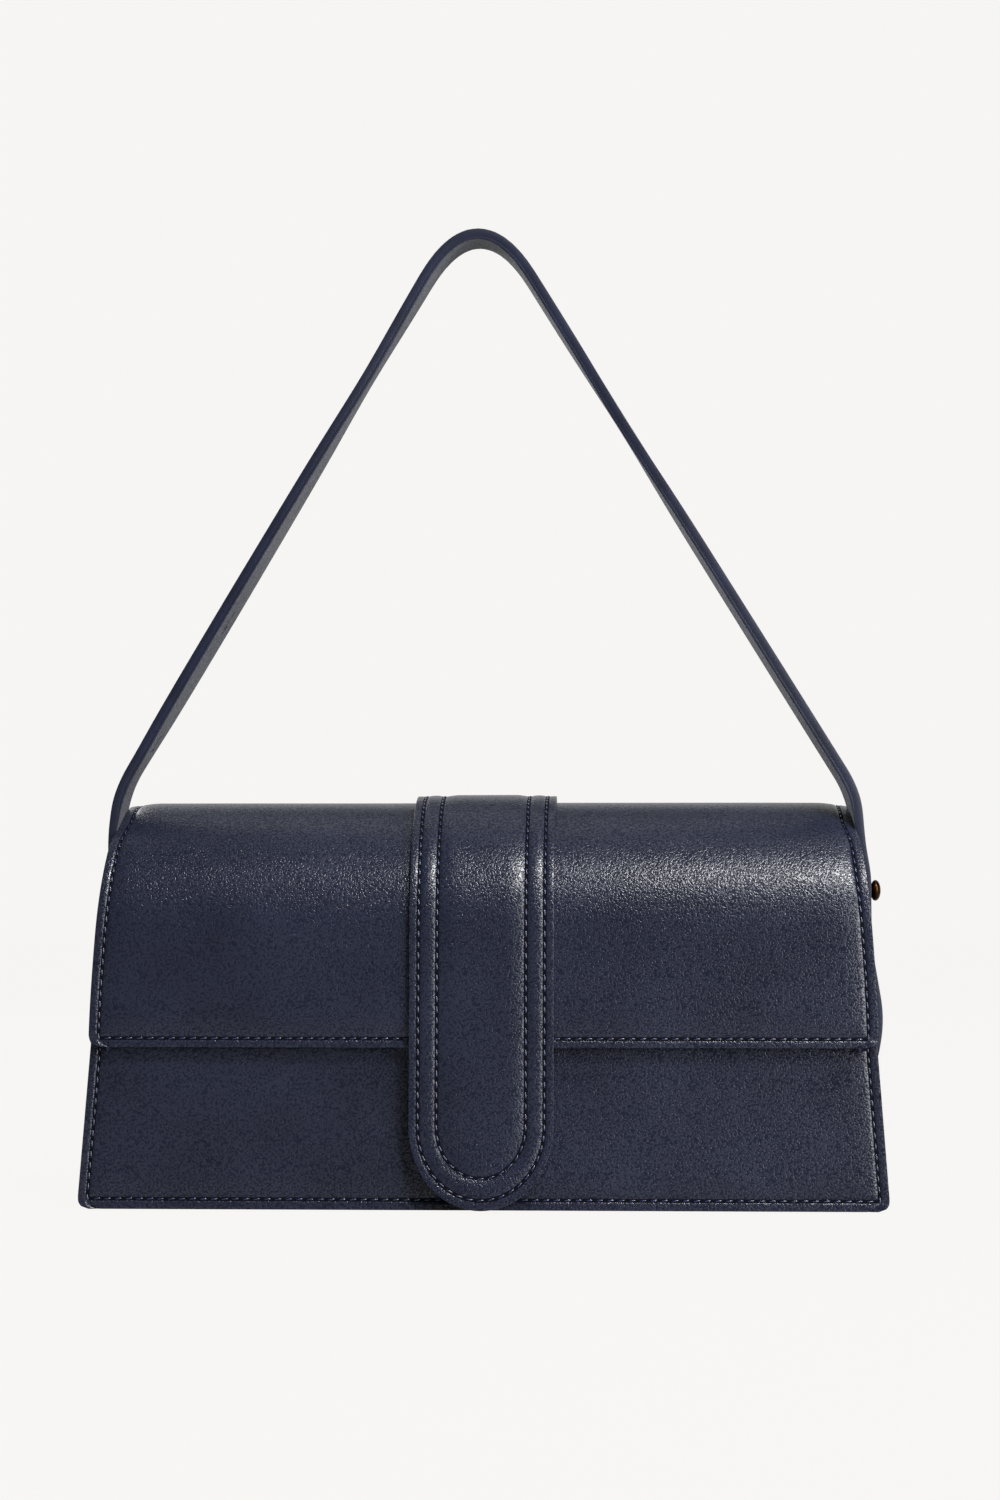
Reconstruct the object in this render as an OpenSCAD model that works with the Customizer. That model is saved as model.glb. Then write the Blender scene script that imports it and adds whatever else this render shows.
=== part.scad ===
// Baguette shoulder bag: a boxy leather body, a curved flap with a padded centre band,
// a magnetic snap under the band's free tab, and one shoulder strap on two collar studs.
// The front faces -Y, +X is to the right, +Z is up, and the origin is the middle of the base.

/* [Body] */
// Width of the bag along its bottom edge
base_w = 280; // [220:1:340]
// Width of the bag across the top of the back
top_w = 259; // [210:1:320]
// Depth of the bag along its bottom edge
base_d = 64; // [56:1:84]
// Height of the bag to the top of the closed flap
bag_h = 141; // [130:1:170]
// Height of the front panel, which the flap hides
front_h = 96; // [86:1:104]
// Lean of the front and back panels towards each other
lean = 4.1; // [2:0.1:6]
// Radius of the panels' lower corners
panel_corner = 4; // [1:0.5:12]
// How far the gussets stand in from the panels' edges
gusset_recess = 2.6; // [1.5:0.1:5]
// Width of the seam flanges along the gussets and the base
flange_w = 7; // [5:0.5:12]

/* [Leather and linings] */
// Thickness of the outer leather
leather_t = 1.4; // [1:0.1:2]
// Thickness of the stiffener boards
board_t = 0.8; // [0.5:0.1:1.5]
// Thickness of the lining fabric
lining_t = 0.5; // [0.3:0.1:0.8]
// Air between a panel and the leather that lies on it
ply_gap = 0.3; // [0.2:0.1:0.6]

/* [Flap] */
// Height of the flap's lower edge above the base
flap_low = 56; // [40:1:75]
// Thickness of the flap's outer leather
flap_leather_t = 1.3; // [1:0.1:2]
// Thickness of the flap's lining
flap_lining_t = 0.6; // [0.4:0.1:1]
// Gap between the closed flap and the front panel
flap_gap = 1.3; // [0.8:0.1:2.5]
// Distance from the bag's middle back to where the flap starts to curve down
crown_back = 20; // [14:1:24]
// Radius of the bend over the back edge
back_bend_r = 5; // [4:0.5:8]
// Length of the flap's hem on the back panel
hem_len = 24; // [15:1:40]
// Angle up the front curve at which the flap bends when it is lifted
bend_angle = 46; // [40:1:55]
// Radius of the flap's lower corners
flap_corner = 4; // [1:0.5:12]

/* [Centre band] */
// Width of the centre band and its tab
band_w = 49.6; // [35:0.2:70]
// Thickness of the band's leather
band_leather_t = 1.3; // [1:0.1:2]
// Thickness of the band's padding
band_pad_t = 1.5; // [0.8:0.1:3]
// Length of the tab's rounded end
tab_round = 28.5; // [20:0.5:35]
// Height of the tab's tip above the base
tab_tip = 0.8; // [0.5:0.1:10]
// Distance from the band's edge to its inner stitch row, which bounds the padding
pad_inset = 9.5; // [6:0.5:15]
// Height at which the tab bends away from the flap
tab_top = 56; // [40:1:75]

/* [Magnetic snap] */
// Height of the snap above the base
snap_z = 28; // [20:1:36]
// Radius of both halves of the snap
snap_r = 7; // [5:0.5:9]
// Radius of the snap's centre hole and the peg in it
peg_r = 2.2; // [1.5:0.1:3]
// Running gap round the snap's peg
peg_gap = 0.3; // [0.2:0.1:0.6]
// Thickness of the snap's prong washers
washer_t = 0.5; // [0.3:0.1:1]

/* [Strap] */
// Width of the shoulder strap
strap_w = 18; // [12:1:22]
// Running gap between the strap and the flap's side edges
side_clear = 0.8; // [0.5:0.1:1.5]
// Thickness of the strap's outer leather
strap_leather_t = 1.2; // [0.8:0.1:1.8]
// Thickness of the strap's core
strap_core_t = 0.7; // [0.5:0.1:1.5]
// Thickness of the strap's lining leather
strap_lining_t = 0.9; // [0.8:0.1:1.8]
// Height of the top of the strap
strap_h = 344.5; // [280:0.5:420]
// Sideways place of the strap's highest point
strap_apex_x = -3; // [-15:1:15]
// Radius of the strap's inner face over its highest point
apex_r = 14; // [5:0.5:22]
// Height up to which the strap runs straight beside the bag, above the flap
strap_rise = 8; // [7:0.5:14]
// Length of the strap's free tail below the right stud
tail_right = 60; // [40:1:75]
// Length of the strap's free tail below the left stud
tail_left = 16; // [12:1:30]
// How far the right tail's belly stands out from the bag's side
tail_belly = 4.6; // [3:0.2:8]
// Distance between the strap's stud slots
slot_pitch = 51; // [40:1:60]

/* [Studs] */
// Height of the studs above the base
stud_z = 110; // [104:1:114]
// Radius of the studs' heads
stud_head_r = 3.7; // [3:0.1:5]
// Radius of the studs' necks
stud_neck_r = 1.9; // [1.5:0.1:2.5]
// Running gap between a stud's neck and the strap
neck_gap = 0.25; // [0.15:0.05:0.5]
// Radius of the studs' flanges and of their inside screws
stud_flange_r = 4.6; // [4:0.1:6]
// Thickness of the left stud's flange
flange_left_t = 0.6; // [0.4:0.1:2]
// Thickness of the right stud's flange, which holds the strap out over its tail
flange_right_t = 2.9; // [2.2:0.1:4]

/* [Slip pocket] */
// Width of the slip pocket on the back lining
pocket_w = 150; // [100:1:180]
// Height of the slip pocket
pocket_h = 72; // [50:1:85]
// Thickness of the slip pocket's fabric
pocket_t = 0.8; // [0.5:0.1:1.2]

/* [Hidden] */
$fn = 48;

navy = "#2e3344";
navy_dark = "#262a3a";
lining_grey = "#5a5f66";
board_tan = "#8b7a62";
brass = "#8a6a3c";
steel = "#b8bcc2";

wall_t = leather_t + board_t + lining_t;
flap_t = flap_leather_t + board_t + flap_lining_t;
band_t = band_leather_t + band_pad_t;
strap_t = strap_leather_t + strap_core_t + strap_lining_t;
side_slope = (base_w - top_w) / 2 / bag_h;
back_h = bag_h - flap_t - ply_gap;
cut = 600;
seam_gap = 0.6;

// The flap's outer face: an arc that touches the top and the leaning front.
arc_r = ((crown_back + base_d / 2) * cos(lean) + flap_gap + flap_t - bag_h * sin(lean)) / (1 - sin(lean));
arc_z = bag_h - arc_r;
bend_z = bag_h - back_bend_r;

// Half the bag's width at a height, and a panel's outer face there
function half_w(z) = base_w / 2 - z * side_slope;
function face_y(z) = base_d / 2 - z * tan(lean);
// The flap's outer front face at a height
function flap_y(z) = -face_y(z) - (flap_gap + flap_t) / cos(lean);
function back_hem_y(z) = crown_back + back_bend_r + (bend_z - z) * tan(lean);

// Points of a corner rounded to radius r, between the points before and after it
function unit(v) = v / norm(v);
function corner(a, p, b, r) = let (
        u = unit(a - p),
        v = unit(b - p),
        half = acos(u * v) / 2,
        c = p + unit(u + v) * r / sin(half),
        s = p + u * r / tan(half) - c,
        turn = (180 - 2 * half) * (cross(u, v) > 0 ? -1 : 1))
    [for (i = [0:5]) let (t = turn * i / 5) c + [s.x * cos(t) - s.y * sin(t), s.x * sin(t) + s.y * cos(t)]];
function rounded(p, r) = [for (i = [0:len(p) - 1]) each
    r[i] > 0 ? corner(p[(i + len(p) - 1) % len(p)], p[i], p[(i + 1) % len(p)], r[i]) : [p[i]]];

// A side view drawn in Y and Z, and a front view drawn in X and Z
module side_view(w) { rotate([90, 0, 90]) linear_extrude(w, center = true) children(); }
module front_view() { rotate([90, 0, 0]) linear_extrude(cut, center = true) children(); }

// The bag's front outline between two heights, drawn in from its sides, with its lower corners rounded
module outline(z0, z1, inset, r) {
    front_view() polygon(rounded([
        [-half_w(z0) + inset, z0],
        [half_w(z0) - inset, z0],
        [half_w(z1) - inset, z1],
        [-half_w(z1) + inset, z1]], [r, r, 0, 0]));
}

// One layer of a leaning wall, from depth a to depth b inside its outer face
module wall_side(side, a, b, z0, z1) {
    polygon([
        [side * (face_y(z0) - a / cos(lean)), z0],
        [side * (face_y(z0) - b / cos(lean)), z0],
        [side * (face_y(z1) - b / cos(lean)), z1],
        [side * (face_y(z1) - a / cos(lean)), z1]]);
}
module wall(side, a, b, z0, z1, inset = 0, r = 0) {
    intersection() {
        side_view(cut) wall_side(side, a, b, z0, z1);
        outline(z0, z1, inset, r);
    }
}

// A round hole or pin through the front, square to the leaning front panel
module front_pin(r, deep, depth = 0) {
    translate([0, -face_y(snap_z), snap_z]) rotate([90 - lean, 0, 0])
        translate([0, 0, depth]) cylinder(h = deep, r = r);
}

module front_panel() {
    color(navy) difference() {
        wall(-1, 0, leather_t, 0, front_h, 0, panel_corner);
        front_pin(peg_r, leather_t * 3, -leather_t * 2);
    }
}
module front_stiffener() {
    color(board_tan) difference() {
        wall(-1, leather_t, leather_t + board_t, base_stack, front_h - flange_w / 2, lining_inset);
        front_pin(snap_r + peg_gap, wall_t * 3, -wall_t * 2);
    }
}
module front_lining() {
    color(lining_grey) wall(-1, leather_t + board_t, wall_t, base_stack, front_h - facing_h, lining_inset);
}
// The leather strip that faces the inside of a panel along the mouth
module front_facing() {
    color(navy_dark) wall(-1, leather_t + board_t, wall_t + lining_t, front_h - facing_h, front_h, lining_inset);
}
module back_panel() {
    color(navy) wall(1, 0, leather_t, 0, back_h - back_top_drop, 0, panel_corner);
}
module back_stiffener() {
    color(board_tan) wall(1, leather_t, leather_t + board_t, base_stack,
        back_h - back_top_drop - flange_w / 2, lining_inset);
}
module back_lining() {
    color(lining_grey) wall(1, leather_t + board_t, wall_t, base_stack, back_h - back_top_drop - facing_h,
        lining_inset);
}
module back_facing() {
    color(navy_dark) wall(1, leather_t + board_t, wall_t + lining_t, back_h - back_top_drop - facing_h,
        back_h - back_top_drop, lining_inset);
}

// Heights and insets that the inside pieces share
base_stack = leather_t + board_t + lining_t;
lining_inset = gusset_recess + leather_t + lining_t;
facing_h = 14;
back_top_drop = 1.5;

// The base between the two panels
module base_layer(z0, z1, inset) {
    intersection() {
        side_view(cut) polygon([
            [-face_y(z0) + leather_t / cos(lean), z0],
            [face_y(z0) - leather_t / cos(lean), z0],
            [face_y(z1) - leather_t / cos(lean), z1],
            [-face_y(z1) + leather_t / cos(lean), z1]]);
        outline(z0, z1, inset, 0);
    }
}
module base_panel() {
    color(navy) base_layer(0, leather_t, panel_corner);
}
module base_board() {
    color(board_tan) base_layer(leather_t, leather_t + board_t, lining_inset);
}
module base_lining() {
    color(lining_grey) base_layer(leather_t + board_t, base_stack, lining_inset);
}

// The gusset's side view: it fills the space between the panels, under the flap's curve
module gusset_side(gap, z0) {
    gusset_r = arc_r - flap_t - gap;
    intersection() {
        polygon([
            [-face_y(z0) + leather_t / cos(lean), z0],
            [face_y(z0) - leather_t / cos(lean), z0],
            [face_y(back_h) - leather_t / cos(lean), back_h - facing_h / 2],
            [-face_y(back_h) + leather_t / cos(lean), back_h - facing_h / 2]]);
        union() {
            translate([crown_back, arc_z]) circle(r = gusset_r, $fn = 96);
            translate([-cut / 2, z0 - 1]) square([cut, arc_z - z0 + 1]);
            translate([crown_back, z0]) square([cut / 2, back_h]);
        }
    }
}
// A slab beside the leaning side edge, from inset a to inset b
module side_slab(a, b, z0, z1) {
    front_view() polygon([
        [half_w(z0) - a, z0],
        [half_w(z1) - a, z1],
        [half_w(z1) - b, z1],
        [half_w(z0) - b, z0]]);
}
module stud_hole(r) {
    translate([0, 0, stud_z]) rotate([0, 90, 0]) cylinder(h = cut, r = r);
}
// The right gusset: a recessed wall whose seam flanges turn out along the two panels
module gusset_leather() {
    difference() {
        intersection() {
            side_view(cut) gusset_side(gusset_clear, leather_t);
            side_slab(0, gusset_recess + leather_t, leather_t, bag_h);
        }
        intersection() {
            side_view(cut) gusset_hollow();
            side_slab(-1, gusset_recess, 0, bag_h + 1);
        }
        stud_hole(stud_neck_r);
    }
}
// The recess between the seam flanges
module gusset_hollow() {
    polygon([
        [-face_y(0) + (leather_t * 2) / cos(lean), -1],
        [face_y(0) - (leather_t * 2) / cos(lean), -1],
        [face_y(bag_h) - (leather_t * 2) / cos(lean), bag_h],
        [-face_y(bag_h) + (leather_t * 2) / cos(lean), bag_h]]);
}
module gusset_lining() {
    difference() {
        intersection() {
            side_view(cut) intersection() {
                gusset_side(gusset_clear + 2, base_stack);
                gusset_lining_side();
            }
            side_slab(gusset_recess + leather_t, gusset_recess + leather_t + lining_t, base_stack, bag_h);
        }
        stud_hole(stud_neck_r);
    }
}
module gusset_lining_side() {
    polygon([
        [-face_y(0) + (wall_t + lining_t) / cos(lean), 0],
        [face_y(0) - (wall_t + lining_t) / cos(lean), 0],
        [face_y(bag_h) - (wall_t + lining_t) / cos(lean), bag_h],
        [-face_y(bag_h) + (wall_t + lining_t) / cos(lean), bag_h]]);
}
gusset_clear = 1.6;
module left_gusset() {
    color(navy) mirror([1, 0, 0]) gusset_leather();
}
module right_gusset() {
    color(navy) gusset_leather();
}
module left_gusset_lining() {
    color(lining_grey) mirror([1, 0, 0]) gusset_lining();
}
module right_gusset_lining() {
    color(lining_grey) gusset_lining();
}

// The slip pocket: a flat fabric patch stitched to the back lining round three sides
module slip_pocket() {
    color(lining_grey) intersection() {
        side_view(pocket_w) union() {
            wall_side(1, wall_t, wall_t + pocket_t, pocket_z, pocket_z + pocket_h);
        }
        outline(0, bag_h, 0, 0);
    }
}
pocket_z = 18;

// The flap's side view between two depths inside its outer face: the arc from angle p0 to p1
module arc_side(a, b, p0, p1) {
    translate([crown_back, arc_z]) intersection() {
        difference() {
            circle(r = arc_r - a, $fn = 128);
            circle(r = arc_r - b, $fn = 128);
        }
        polygon([[0, 0], for (i = [0:4]) let (p = p0 + (p1 - p0) * i / 4) cut / 2 * [-cos(p), sin(p)]]);
    }
}
// The front's straight part below the arc, down to a height
module drop_side(a, b, z0, z1) {
    polygon([
        [flap_y(z0) + a / cos(lean), z0],
        [flap_y(z0) + b / cos(lean), z0],
        [arc_x(b), arc_low_z(b) + 0 * z1],
        [arc_x(a), arc_low_z(a)]]);
}
function arc_x(a) = crown_back - (arc_r - a) * cos(lean);
function arc_low_z(a) = arc_z + (arc_r - a) * sin(lean);
// The bend over the back edge and the hem below it
module back_bend_side(a, b) {
    translate([crown_back, bend_z]) intersection() {
        difference() {
            circle(r = back_bend_r - a);
            circle(r = back_bend_r - b);
        }
        translate([0, seam_gap / 2]) square(cut / 2);
    }
}
module hem_side(a, b, z0) {
    z1 = bend_z - seam_gap / 2;
    polygon([
        [back_hem_y(z0) - a, z0],
        [back_hem_y(z1) - a, z1],
        [back_hem_y(z1) - b, z1],
        [back_hem_y(z0) - b, z0]]);
}
// Each half of the flap stops short of the line on which it bends
bend_gap = seam_gap / 2 / arc_r * 180 / PI;
module crown_side(a, b) {
    union() {
        arc_side(a, b, bend_angle + bend_gap, 90);
        back_bend_side(a, b);
    }
}
module front_side(a, b, z0) {
    union() {
        arc_side(a, b, lean, bend_angle - bend_gap);
        drop_side(a, b, z0, arc_z);
    }
}

module flap_hem() {
    color(navy) intersection() {
        side_view(cut) hem_side(0, flap_t - board_t, bend_z - hem_len);
        outline(bend_z - hem_len, bag_h, 0, 0);
    }
}
module flap_crown() {
    color(navy) intersection() {
        side_view(cut) crown_side(0, flap_leather_t);
        outline(0, bag_h + 1, 0, 0);
    }
}
module crown_lining() {
    color(lining_grey) intersection() {
        side_view(cut) arc_side(flap_leather_t, flap_leather_t + flap_lining_t, bend_angle + bend_gap, 90);
        outline(0, bag_h + 1, edge_turn, 0);
    }
}
edge_turn = 2;
module flap_front() {
    color(navy) intersection() {
        side_view(cut) front_side(0, flap_leather_t, flap_low);
        outline(flap_low, bag_h, 0, flap_corner);
    }
}
module flap_stiffener() {
    color(board_tan) difference() {
        intersection() {
            side_view(cut) front_side(flap_leather_t, flap_leather_t + board_t, flap_low + edge_turn);
            outline(flap_low + edge_turn, bag_h, edge_turn, flap_corner);
        }
    }
}
module flap_lining() {
    color(lining_grey) intersection() {
        side_view(cut) front_side(flap_leather_t + board_t, flap_t, flap_low + edge_turn / 2);
        outline(flap_low + edge_turn / 2, bag_h, edge_turn / 2, flap_corner);
    }
}

// The centre band lies on the flap and runs on down as the free tab.
module band_hem() {
    color(navy) side_view(band_w) hem_side(-band_leather_t, 0, bend_z - hem_len);
}
module band_crown() {
    color(navy) side_view(band_w) crown_side(-band_t, 0);
}
module band_front() {
    color(navy) side_view(band_w) front_side(-band_t, -band_pad_t, tab_top + seam_gap / 2);
}
module band_padding() {
    color(lining_grey) side_view(band_w - 2 * pad_inset)
        front_side(-band_pad_t, 0, tab_top + seam_gap / 2 + edge_turn);
}

// The tab's front outline, drawn in from its edge: straight sides and a long rounded end
module tab_outline(inset) {
    hw = band_w / 2 - inset;
    round_z = tab_round - inset;
    front_view() polygon([
        [hw, tab_top - seam_gap / 2 - inset],
        [-hw, tab_top - seam_gap / 2 - inset],
        for (i = [0:24]) let (t = 180 + i * 7.5)
            [hw * cos(t), tab_tip + tab_round + round_z * sin(t)]]);
}
module tab_layer(a, b, inset) {
    intersection() {
        side_view(cut) polygon([
            [flap_y(0) + a / cos(lean), 0],
            [flap_y(0) + b / cos(lean), 0],
            [flap_y(tab_top) + b / cos(lean), tab_top],
            [flap_y(tab_top) + a / cos(lean), tab_top]]);
        tab_outline(inset);
    }
}
module tab_face() {
    color(navy) tab_layer(-band_t, -band_pad_t, 0);
}
module tab_padding() {
    color(lining_grey) difference() {
        tab_layer(-band_pad_t, 0, pad_inset);
        front_pin(snap_r + peg_gap, cut / 10, 0);
    }
}
// The backing leather, with the hole for the snap's peg
module tab_backing() {
    color(navy_dark) difference() {
        tab_layer(0, flap_leather_t, 0);
        front_pin(peg_r, cut / 10, 0);
    }
}

// The snap: a socket on the front panel and a plug on the tab's back, with washers inside
socket_t = (flap_gap + flap_t - flap_leather_t - ply_gap) / 2;
plug_t = socket_t;
module snap_socket() {
    color(brass) difference() {
        union() {
            front_pin(snap_r, socket_t, 0);
            front_pin(peg_r, leather_t + board_t, -leather_t - board_t);
        }
        front_pin(peg_r - peg_gap, socket_t * 2, socket_t / 2);
    }
}
module socket_washer() {
    color(steel) difference() {
        front_pin(snap_r, washer_t, -leather_t - washer_t);
        front_pin(peg_r, cut / 10, -cut / 20);
    }
}
module snap_plug() {
    color(brass) union() {
        front_pin(snap_r, plug_t, socket_t + ply_gap);
        front_pin(peg_r, flap_leather_t + band_pad_t / 2, socket_t + ply_gap + plug_t);
        front_pin(peg_r - peg_gap * 2, socket_t / 2, socket_t / 2 + ply_gap);
    }
}
module plug_washer() {
    color(steel) difference() {
        front_pin(snap_r, washer_t, socket_t + ply_gap + plug_t + flap_leather_t);
        front_pin(peg_r, cut / 10, 0);
    }
}

// Where the strap's inner face stands beside the bag, from the gusset's face and the stud's flange
function gusset_x(z) = half_w(z) - gusset_recess;
left_in = gusset_x(stud_z) + flange_left_t + ply_gap;
right_in = gusset_x(stud_z) + flange_right_t + ply_gap;
rise_in = half_w(bag_h) + side_clear;
rise_z = bag_h + strap_rise;
flare_z = stud_z + 10;
flare_in = half_w(flare_z) + side_clear;

// The stud on the right side: flange, neck and domed head in one turning, screwed through the gusset
module stud(flange_t) {
    x0 = gusset_x(stud_z);
    translate([x0 - leather_t / 2, 0, stud_z]) rotate([0, 90, 0]) rotate_extrude() polygon([
        [0, -stud_screw],
        [stud_neck_r, -stud_screw],
        [stud_neck_r, leather_t / 2 + stud_sink],
        [stud_flange_r, leather_t / 2 + stud_sink],
        [stud_flange_r, leather_t / 2 + flange_t],
        [stud_neck_r, leather_t / 2 + flange_t],
        [stud_neck_r, neck_top(flange_t)],
        [stud_head_r, neck_top(flange_t) + head_h * 0.25],
        [stud_head_r, neck_top(flange_t) + head_h * 0.5],
        [stud_head_r * 0.75, neck_top(flange_t) + head_h * 0.85],
        [stud_head_r * 0.35, neck_top(flange_t) + head_h],
        [0, neck_top(flange_t) + head_h]]);
}
head_h = 3.6;
stud_sink = stud_flange_r * abs(side_slope) + 0.05;
stud_screw = leather_t / 2 + lining_t + stud_sink + washer_t - 0.1;
function neck_top(flange_t) = leather_t / 2 + flange_t + strap_t + 2 * ply_gap;
module stud_screw_disc() {
    x0 = gusset_x(stud_z) - leather_t - lining_t - stud_sink;
    translate([x0, 0, stud_z]) rotate([0, -90, 0]) difference() {
        cylinder(h = washer_t * 2, r = stud_flange_r);
        translate([0, 0, -1]) cylinder(h = 1 + washer_t, r = stud_neck_r);
    }
}
module left_stud() {
    color(brass) mirror([1, 0, 0]) stud(flange_left_t);
}
module left_stud_screw() {
    color(brass) mirror([1, 0, 0]) stud_screw_disc();
}
module right_stud() {
    color(brass) stud(flange_right_t);
}
module right_stud_screw() {
    color(brass) stud_screw_disc();
}

// The strap's inner face as a line in X and Z, from the left tail over the top to the right tail
apex_in_z = strap_h - strap_t;
function strand_dir(side) = unit([strap_apex_x - side * rise_in, apex_in_z - apex_r - rise_z]);
function apex_arc(t) = [strap_apex_x + apex_r * sin(t), apex_in_z - apex_r + apex_r * cos(t)];
apex_turn = 58;
strap_line = [
    [-left_in - tail_left * side_slope, stud_z - tail_left],
    [-left_in, stud_z],
    [-flare_in, flare_z],
    [-rise_in, bag_h],
    [-rise_in, rise_z],
    for (t = [-apex_turn:apex_turn / 3:apex_turn + 0.1]) apex_arc(t),
    [rise_in, rise_z],
    [rise_in, bag_h],
    [flare_in, flare_z],
    [right_in, stud_z + 6],
    [right_in, stud_z - 6],
    [right_in + tail_belly * 0.45, stud_z - tail_right * 0.35],
    [right_in + tail_belly, stud_z - tail_right * 0.65],
    [right_in + tail_belly * 0.8, stud_z - tail_right]];
function turn_left(v) = [-v.y, v.x];
function line_normal(i) = let (
        n = len(strap_line),
        a = strap_line[max(i - 1, 0)],
        p = strap_line[i],
        b = strap_line[min(i + 1, n - 1)],
        u = i == 0 ? unit(b - p) : unit(p - a),
        v = i == n - 1 ? u : unit(b - p),
        m = unit(turn_left(u) + turn_left(v)))
    m / (m * turn_left(u));
function offset_line(d) = [for (i = [0:len(strap_line) - 1]) strap_line[i] + d * line_normal(i)];
function reversed(p) = [for (i = [len(p) - 1:-1:0]) p[i]];

// One layer of the strap, from distance a to distance b outside its inner face, with its stud slots
module strap_layer(a, b) {
    difference() {
        rotate([90, 0, 0]) linear_extrude(strap_w, center = true)
            polygon(concat(offset_line(a), reversed(offset_line(b))));
        stud_slot(-1, 0);
        stud_slot(1, 0);
        strand_slot(slot_pitch);
        strand_slot(slot_pitch * 2);
        stud_slot(1, -tail_right * 0.6);
    }
}
// A stud slot in the strap's straight part: a round hole for the neck with a slit above it
module stud_slot(side, dz) {
    x0 = side > 0 ? stud_z : -cut;
    translate([0, 0, stud_z + dz]) rotate([0, side * 90, 0]) cylinder(h = cut, r = stud_neck_r + neck_gap);
    translate([side > 0 ? 0 : -cut, -slit_w / 2, stud_z + dz]) cube([cut, slit_w, slit_len]);
}
slit_w = 1.2;
slit_len = 7;
// A spare slot in the left strand, at a distance along the strap from the stud
module strand_slot(along) {
    run = along - (rise_z - stud_z);
    p = [-rise_in, rise_z] + strand_dir(-1) * run;
    tilt = atan2(strand_dir(-1).x, strand_dir(-1).y);
    translate([p.x, 0, p.y]) rotate([0, tilt, 0]) {
        rotate([0, -90, 0]) translate([0, 0, -strap_t]) cylinder(h = strap_t * 3, r = stud_neck_r + neck_gap);
        translate([-strap_t * 2, -slit_w / 2, 0]) cube([strap_t * 4, slit_w, slit_len]);
    }
}
module strap_leather() {
    color(navy) strap_layer(strap_lining_t + strap_core_t, strap_t);
}
module strap_core() {
    color(board_tan) strap_layer(strap_lining_t, strap_lining_t + strap_core_t);
}
module strap_lining() {
    color(lining_grey) strap_layer(0, strap_lining_t);
}

front_panel();
front_stiffener();
front_lining();
front_facing();
back_panel();
back_stiffener();
back_lining();
back_facing();
base_panel();
base_board();
base_lining();
left_gusset();
left_gusset_lining();
right_gusset();
right_gusset_lining();
slip_pocket();
flap_hem();
band_hem();
snap_socket();
socket_washer();
left_stud();
left_stud_screw();
right_stud();
right_stud_screw();
flap_crown();
crown_lining();
band_crown();
flap_front();
flap_stiffener();
flap_lining();
band_front();
band_padding();
tab_face();
tab_padding();
tab_backing();
snap_plug();
plug_washer();
strap_leather();
strap_core();
strap_lining();
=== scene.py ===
"""A baguette shoulder bag in navy grained leather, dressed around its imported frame.

Sizes in this file are in millimetres until mm() turns a point into metres. The front faces -Y and +Z is up.
"""
import math

import bpy
import numpy as np
from mathutils import Matrix, Vector, noise


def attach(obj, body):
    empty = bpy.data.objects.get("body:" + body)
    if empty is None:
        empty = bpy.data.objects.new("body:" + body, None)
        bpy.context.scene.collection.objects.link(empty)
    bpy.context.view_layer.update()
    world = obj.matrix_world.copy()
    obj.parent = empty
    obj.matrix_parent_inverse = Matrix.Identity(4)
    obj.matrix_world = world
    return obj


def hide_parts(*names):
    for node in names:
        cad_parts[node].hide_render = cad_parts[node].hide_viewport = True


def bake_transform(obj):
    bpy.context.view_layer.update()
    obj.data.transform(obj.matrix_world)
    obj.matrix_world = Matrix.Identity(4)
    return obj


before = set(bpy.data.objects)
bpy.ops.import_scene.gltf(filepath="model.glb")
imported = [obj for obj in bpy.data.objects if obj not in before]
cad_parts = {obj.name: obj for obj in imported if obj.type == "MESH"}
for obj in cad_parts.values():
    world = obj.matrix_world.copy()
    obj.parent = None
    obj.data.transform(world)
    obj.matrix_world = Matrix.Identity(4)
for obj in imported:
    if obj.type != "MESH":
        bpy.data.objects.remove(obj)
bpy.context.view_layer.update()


# Real sizes

BASE_W = 280.0
TOP_W = 259.0
BASE_D = 64.0
BAG_H = 141.0
FRONT_H = 96.0
BACK_H = 136.5
LEAN = math.radians(4.1)
LEATHER_T = 1.4
BOARD_T = 0.8
LINING_T = 0.5
WALL_T = LEATHER_T + BOARD_T + LINING_T
GUSSET_RECESS = 2.6
CORNER_R = 4.0
FACING_H = 14.0

FLAP_GAP = 1.3
FLAP_T = 2.7
FLAP_LEATHER_T = 2.1
FLAP_LOW = 56.0
CROWN_BACK = 20.0
BACK_BEND_R = 5.0
HEM_LEN = 24.0
CROWN_LEATHER_T = 1.4
CROWN_LINING_T = 0.6
FLAP_LINING_T = FLAP_T - FLAP_LEATHER_T
FLAP_SWELL = 1.2
FLAP_SWELL_TOP = 134.0
STRAP_ROOM_Z = 126.0
STRAP_ROOM_RUN = 9.0

BAND_W = 49.6
BAND_T = 2.8
TAB_TIP = 0.3
TAB_ROUND = 28.5

STITCH_PITCH = 3.7
STITCH_LEN = 2.9
STITCH_W = 0.62
STITCH_DIVE = 0.35
PIT_DEEP = 0.25
PIT_SINK = 0.02
PIT_SIZE = (1.1, 0.75, 1.0)
RIBBON_HALF_W = 0.66
RIBBON_LIFT = 0.24

STRAP_W = 18.0
STRAP_T = 2.8
STRAP_TOP = 342.4
STUD_Z = 110.0

SIDE_SLOPE = (BASE_W - TOP_W) / 2 / BAG_H
C, S, T = math.cos(LEAN), math.sin(LEAN), math.tan(LEAN)
ARC_R = ((CROWN_BACK + BASE_D / 2) * C + FLAP_GAP + FLAP_T - BAG_H * S) / (1 - S)
ARC_Z = BAG_H - ARC_R
BEND_Z = BAG_H - BACK_BEND_R


def mm(*p):
    return Vector(p) * 0.001


def smooth_step(t):
    t = min(max(t, 0), 1)
    return t * t * (3 - 2 * t)


def half_w(z):
    return BASE_W / 2 - z * SIDE_SLOPE


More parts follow.
